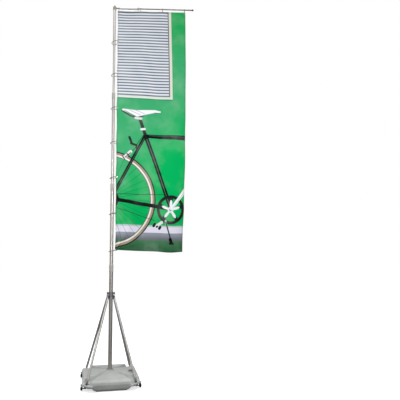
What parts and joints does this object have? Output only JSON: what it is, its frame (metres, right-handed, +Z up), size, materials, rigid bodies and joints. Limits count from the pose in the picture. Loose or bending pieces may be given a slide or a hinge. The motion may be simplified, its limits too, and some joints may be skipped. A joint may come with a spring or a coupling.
{
  "type": "telescopic banner flag on water base",
  "caption": "Tall rectangular banner flag on a telescopic mast with a swivelling arm, braced by struts to a water-filled wheeled base.",
  "frame": {"origin": "on the floor under the mast's axis, in the middle of the tank's flat underside", "axes": "+Z up along the mast, +X along the arm and the flag; the tank stands turned 7.5 degrees about +Z"},
  "size_m": [1.5707, 0.7994, 5.2603],
  "materials": {
    "tank_plastic": "satin",
    "cap_plastic": "satin",
    "seal_rubber": "matte",
    "black_plastic": "satin",
    "wheel_rubber": "matte",
    "zinc_steel": "satin",
    "mast_aluminium": "satin",
    "lock_plastic": "satin",
    "rod_fibre": "satin",
    "ring_plastic": "satin",
    "flag_fabric": "matte"
  },
  "bodies": {
    "root": {"water_tank": "tank_plastic", "filler_seal": "seal_rubber", "socket_bush": "black_plastic", "strut_collar": "mast_aluminium", "mast_tube_1": "mast_aluminium", "foot_bracket_fl": "zinc_steel", "wheel_carrier_fl": "black_plastic", "axle_fl": "zinc_steel", "collar_pin_fl": "black_plastic", "foot_bracket_fr": "zinc_steel", "wheel_carrier_fr": "black_plastic", "axle_fr": "zinc_steel", "collar_pin_fr": "black_plastic", "foot_bracket_br": "zinc_steel", "wheel_carrier_br": "black_plastic", "axle_br": "zinc_steel", "collar_pin_br": "black_plastic", "foot_bracket_bl": "zinc_steel", "wheel_carrier_bl": "black_plastic", "axle_bl": "zinc_steel", "collar_pin_bl": "black_plastic"},
    "filler_cap": {"filler_cap": "cap_plastic"},
    "wheel_fl": {"wheel_fl": "wheel_rubber"},
    "wheel_fr": {"wheel_fr": "wheel_rubber"},
    "wheel_br": {"wheel_br": "wheel_rubber"},
    "wheel_bl": {"wheel_bl": "wheel_rubber"},
    "strut_fl": {"strut_fl": "mast_aluminium"},
    "strut_fr": {"strut_fr": "mast_aluminium"},
    "strut_br": {"strut_br": "mast_aluminium"},
    "strut_bl": {"strut_bl": "mast_aluminium"},
    "handle_right": {"clamp_handle_right": "black_plastic"},
    "handle_left": {"clamp_handle_left": "black_plastic"},
    "lock_1": {"twist_lock_1": "lock_plastic"},
    "lock_2": {"twist_lock_2": "lock_plastic"},
    "lock_3": {"twist_lock_3": "lock_plastic"},
    "mast_2": {"mast_tube_2": "mast_aluminium"},
    "mast_3": {"mast_tube_3": "mast_aluminium"},
    "mast_4": {"mast_tube_4": "mast_aluminium"},
    "head": {"head_sleeve": "mast_aluminium", "head_bush_lower": "black_plastic", "head_bush_upper": "black_plastic", "arm_fitting": "black_plastic", "mast_cap": "black_plastic", "arm_tube": "mast_aluminium", "arm_hanger_1": "black_plastic", "arm_hanger_2": "black_plastic", "arm_hanger_3": "black_plastic", "arm_hanger_4": "black_plastic", "flag": "flag_fabric"},
    "arm_lock": {"arm_lock": "black_plastic"},
    "arm_rod": {"arm_rod": "rod_fibre", "arm_end_cap": "black_plastic"},
    "ring_1": {"mast_ring_1": "ring_plastic"},
    "ring_2": {"mast_ring_2": "ring_plastic"},
    "ring_3": {"mast_ring_3": "ring_plastic"},
    "ring_4": {"mast_ring_4": "ring_plastic"},
    "ring_5": {"mast_ring_5": "ring_plastic"},
    "ring_6": {"mast_ring_6": "ring_plastic"},
    "ring_7": {"mast_ring_7": "ring_plastic"}
  },
  "joints": [
    {"name": "mast_2_slide", "type": "slide", "parent": "root", "child": "mast_2", "axis": [0, 0, -1], "range_m": [0, 1], "deforming": ["flag"]},
    {"name": "mast_3_slide", "type": "slide", "parent": "mast_2", "child": "mast_3", "axis": [0, 0, -1], "range_m": [0, 1]},
    {"name": "mast_4_slide", "type": "slide", "parent": "mast_3", "child": "mast_4", "axis": [0, 0, -1], "range_m": [0, 0.6]},
    {"name": "head_swivel", "type": "hinge", "parent": "mast_4", "child": "head", "pos_m": [0, 0, 4.9], "axis": [0, 0, 1], "continuous": true},
    {"name": "ring_1_slide", "type": "slide", "parent": "head", "child": "ring_1", "axis": [0, 0, 1], "range_m": [0, 2.178]},
    {"name": "ring_2_slide", "type": "slide", "parent": "head", "child": "ring_2", "axis": [0, 0, 1], "range_m": [0, 1.8666]},
    {"name": "ring_3_slide", "type": "slide", "parent": "head", "child": "ring_3", "axis": [0, 0, 1], "range_m": [0, 1.5552]},
    {"name": "ring_4_slide", "type": "slide", "parent": "head", "child": "ring_4", "axis": [0, 0, 1], "range_m": [0, 1.2437]},
    {"name": "ring_5_slide", "type": "slide", "parent": "head", "child": "ring_5", "axis": [0, 0, 1], "range_m": [0, 0.9323]},
    {"name": "ring_6_slide", "type": "slide", "parent": "head", "child": "ring_6", "axis": [0, 0, 1], "range_m": [0, 0.6209]},
    {"name": "ring_7_slide", "type": "slide", "parent": "head", "child": "ring_7", "axis": [0, 0, 1], "range_m": [0, 0.3094]},
    {"name": "arm_rod_slide", "type": "slide", "parent": "head", "child": "arm_rod", "axis": [1, 0, 0], "range_m": [-0.08, 0.13]},
    {"name": "arm_lock_twist", "type": "hinge", "parent": "head", "child": "arm_lock", "pos_m": [0.352, 0, 5.217], "axis": [1, 0, 0], "range_deg": [0, 90]},
    {"name": "lock_1_twist", "type": "hinge", "parent": "root", "child": "lock_1", "pos_m": [0, 0, 1.47], "axis": [0, 0, 1], "range_deg": [0, 90]},
    {"name": "lock_2_twist", "type": "hinge", "parent": "mast_2", "child": "lock_2", "pos_m": [0, 0, 2.57], "axis": [0, 0, 1], "range_deg": [0, 90]},
    {"name": "lock_3_twist", "type": "hinge", "parent": "mast_3", "child": "lock_3", "pos_m": [0, 0, 3.88], "axis": [0, 0, 1], "range_deg": [0, 90]},
    {"name": "strut_fl_swing", "type": "hinge", "parent": "root", "child": "strut_fl", "pos_m": [-0.03348, -0.04363, 1.078], "axis": [-0.7934, 0.6088, 0], "range_deg": [0, 70]},
    {"name": "strut_fr_swing", "type": "hinge", "parent": "root", "child": "strut_fr", "pos_m": [0.04363, -0.03348, 1.078], "axis": [-0.6088, -0.7934, 0], "range_deg": [0, 70]},
    {"name": "strut_br_swing", "type": "hinge", "parent": "root", "child": "strut_br", "pos_m": [0.03348, 0.04363, 1.078], "axis": [0.7934, -0.6088, 0], "range_deg": [0, 70]},
    {"name": "strut_bl_swing", "type": "hinge", "parent": "root", "child": "strut_bl", "pos_m": [-0.04363, 0.03348, 1.078], "axis": [0.6088, 0.7934, 0], "range_deg": [0, 70]},
    {"name": "handle_right_turn", "type": "hinge", "parent": "root", "child": "handle_right", "pos_m": [0.04957, 0.00653, 1.117], "axis": [0.9914, 0.1305, 0], "range_deg": [0, 180]},
    {"name": "handle_left_turn", "type": "hinge", "parent": "root", "child": "handle_left", "pos_m": [-0.04957, -0.00653, 1.117], "axis": [-0.9914, -0.1305, 0], "range_deg": [0, 180]},
    {"name": "wheel_fl_spin", "type": "hinge", "parent": "root", "child": "wheel_fl", "pos_m": [-0.32131, -0.29446, 0.031], "axis": [-0.9914, -0.1305, 0], "continuous": true},
    {"name": "wheel_fr_spin", "type": "hinge", "parent": "root", "child": "wheel_fr", "pos_m": [0.38658, -0.20126, 0.031], "axis": [0.9914, 0.1305, 0], "continuous": true},
    {"name": "wheel_br_spin", "type": "hinge", "parent": "root", "child": "wheel_br", "pos_m": [0.32131, 0.29446, 0.031], "axis": [0.9914, 0.1305, 0], "continuous": true},
    {"name": "wheel_bl_spin", "type": "hinge", "parent": "root", "child": "wheel_bl", "pos_m": [-0.38658, 0.20126, 0.031], "axis": [-0.9914, -0.1305, 0], "continuous": true},
    {"name": "filler_cap_lift", "type": "slide", "parent": "root", "child": "filler_cap", "axis": [0, 0, 1], "range_m": [0, 0.06]}
  ],
  "couplings": [
    {"joint": "mast_3_slide", "follows": "mast_2_slide", "ratio": 1},
    {"joint": "mast_4_slide", "follows": "mast_2_slide", "ratio": 0.6},
    {"joint": "ring_1_slide", "follows": "mast_2_slide", "ratio": 2.1775},
    {"joint": "ring_2_slide", "follows": "mast_2_slide", "ratio": 1.8661},
    {"joint": "ring_3_slide", "follows": "mast_2_slide", "ratio": 1.5547},
    {"joint": "ring_4_slide", "follows": "mast_2_slide", "ratio": 1.2432},
    {"joint": "ring_5_slide", "follows": "mast_2_slide", "ratio": 0.9318},
    {"joint": "ring_6_slide", "follows": "mast_2_slide", "ratio": 0.6204},
    {"joint": "ring_7_slide", "follows": "mast_2_slide", "ratio": 0.3089}
  ]
}
